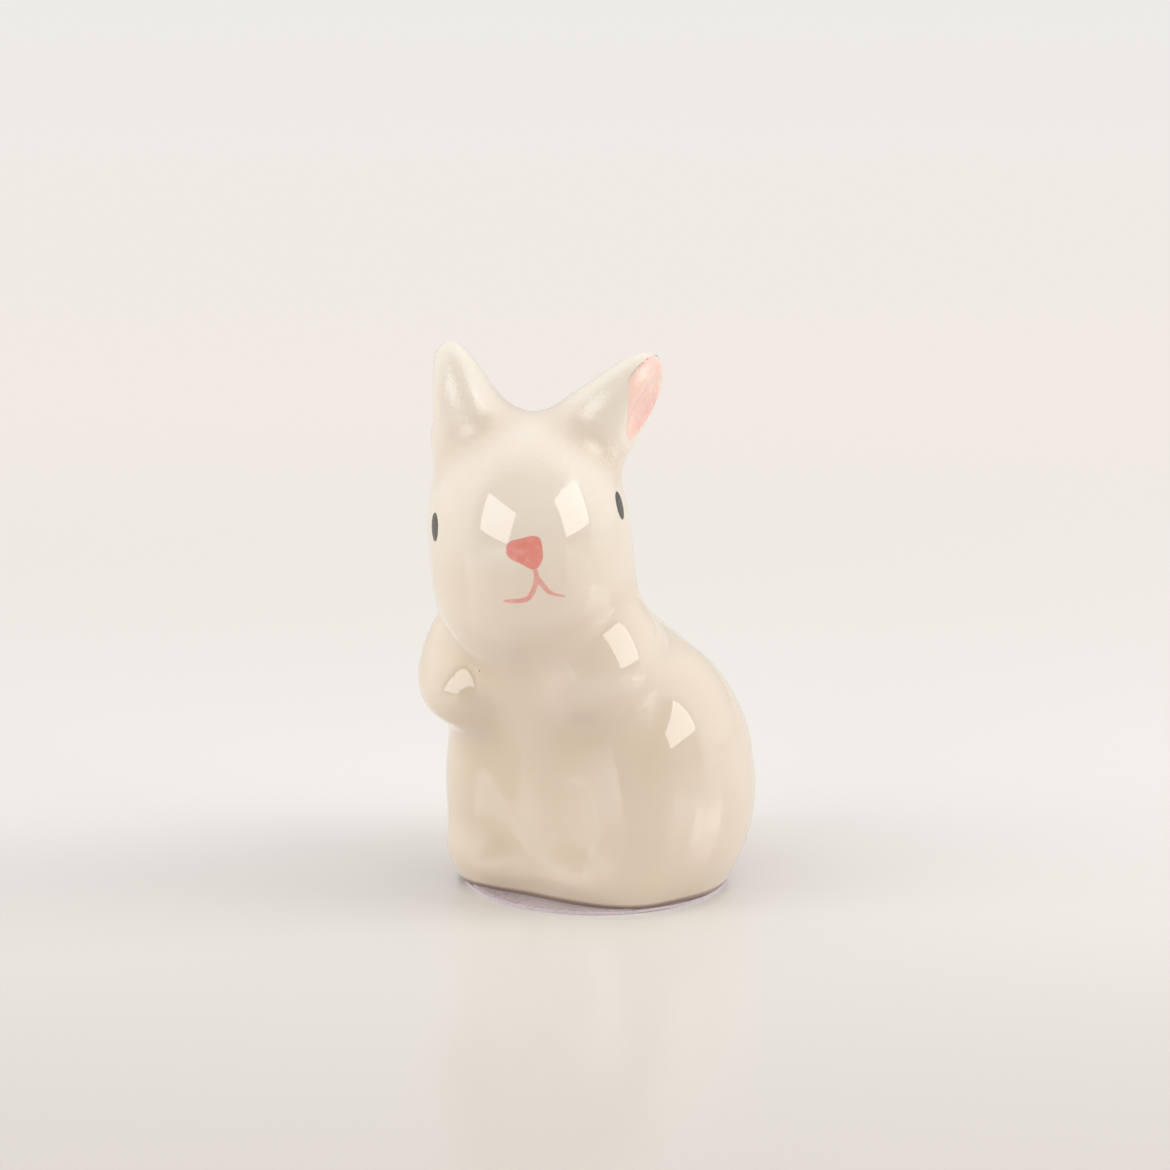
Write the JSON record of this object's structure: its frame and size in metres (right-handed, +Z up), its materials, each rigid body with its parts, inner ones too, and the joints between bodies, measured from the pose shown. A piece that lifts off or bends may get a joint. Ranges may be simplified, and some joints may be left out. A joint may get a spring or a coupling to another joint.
{
  "type": "ceramic rabbit figurine",
  "caption": "Small glazed ceramic rabbit sitting upright with its head turned, painted face and ear linings, and a round label under its base.",
  "frame": {"origin": "centre of the round label's underside, which rests on the surface", "axes": "+Z up, -Y towards where the rabbit's body faces, +X towards the rabbit's own left"},
  "size_m": [0.0292, 0.0401, 0.0528],
  "materials": {
    "glaze": "glossy",
    "eye_enamel": "glossy",
    "nose_enamel": "glossy",
    "mouth_enamel": "glossy",
    "ear_enamel": "glossy",
    "label_paper": "matte",
    "label_glue": "satin"
  },
  "bodies": {
    "root": {"torso": "glaze", "head": "glaze", "left_ear": "glaze", "right_ear": "glaze", "left_arm": "glaze", "right_arm": "glaze", "left_haunch": "glaze", "right_haunch": "glaze", "left_hind_foot": "glaze", "right_hind_foot": "glaze", "tail": "glaze", "left_eye": "eye_enamel", "right_eye": "eye_enamel", "nose": "nose_enamel", "mouth": "mouth_enamel", "left_ear_blush": "ear_enamel", "right_ear_blush": "ear_enamel", "base_label": "label_paper", "label_adhesive": "label_glue"}
  },
  "joints": []
}
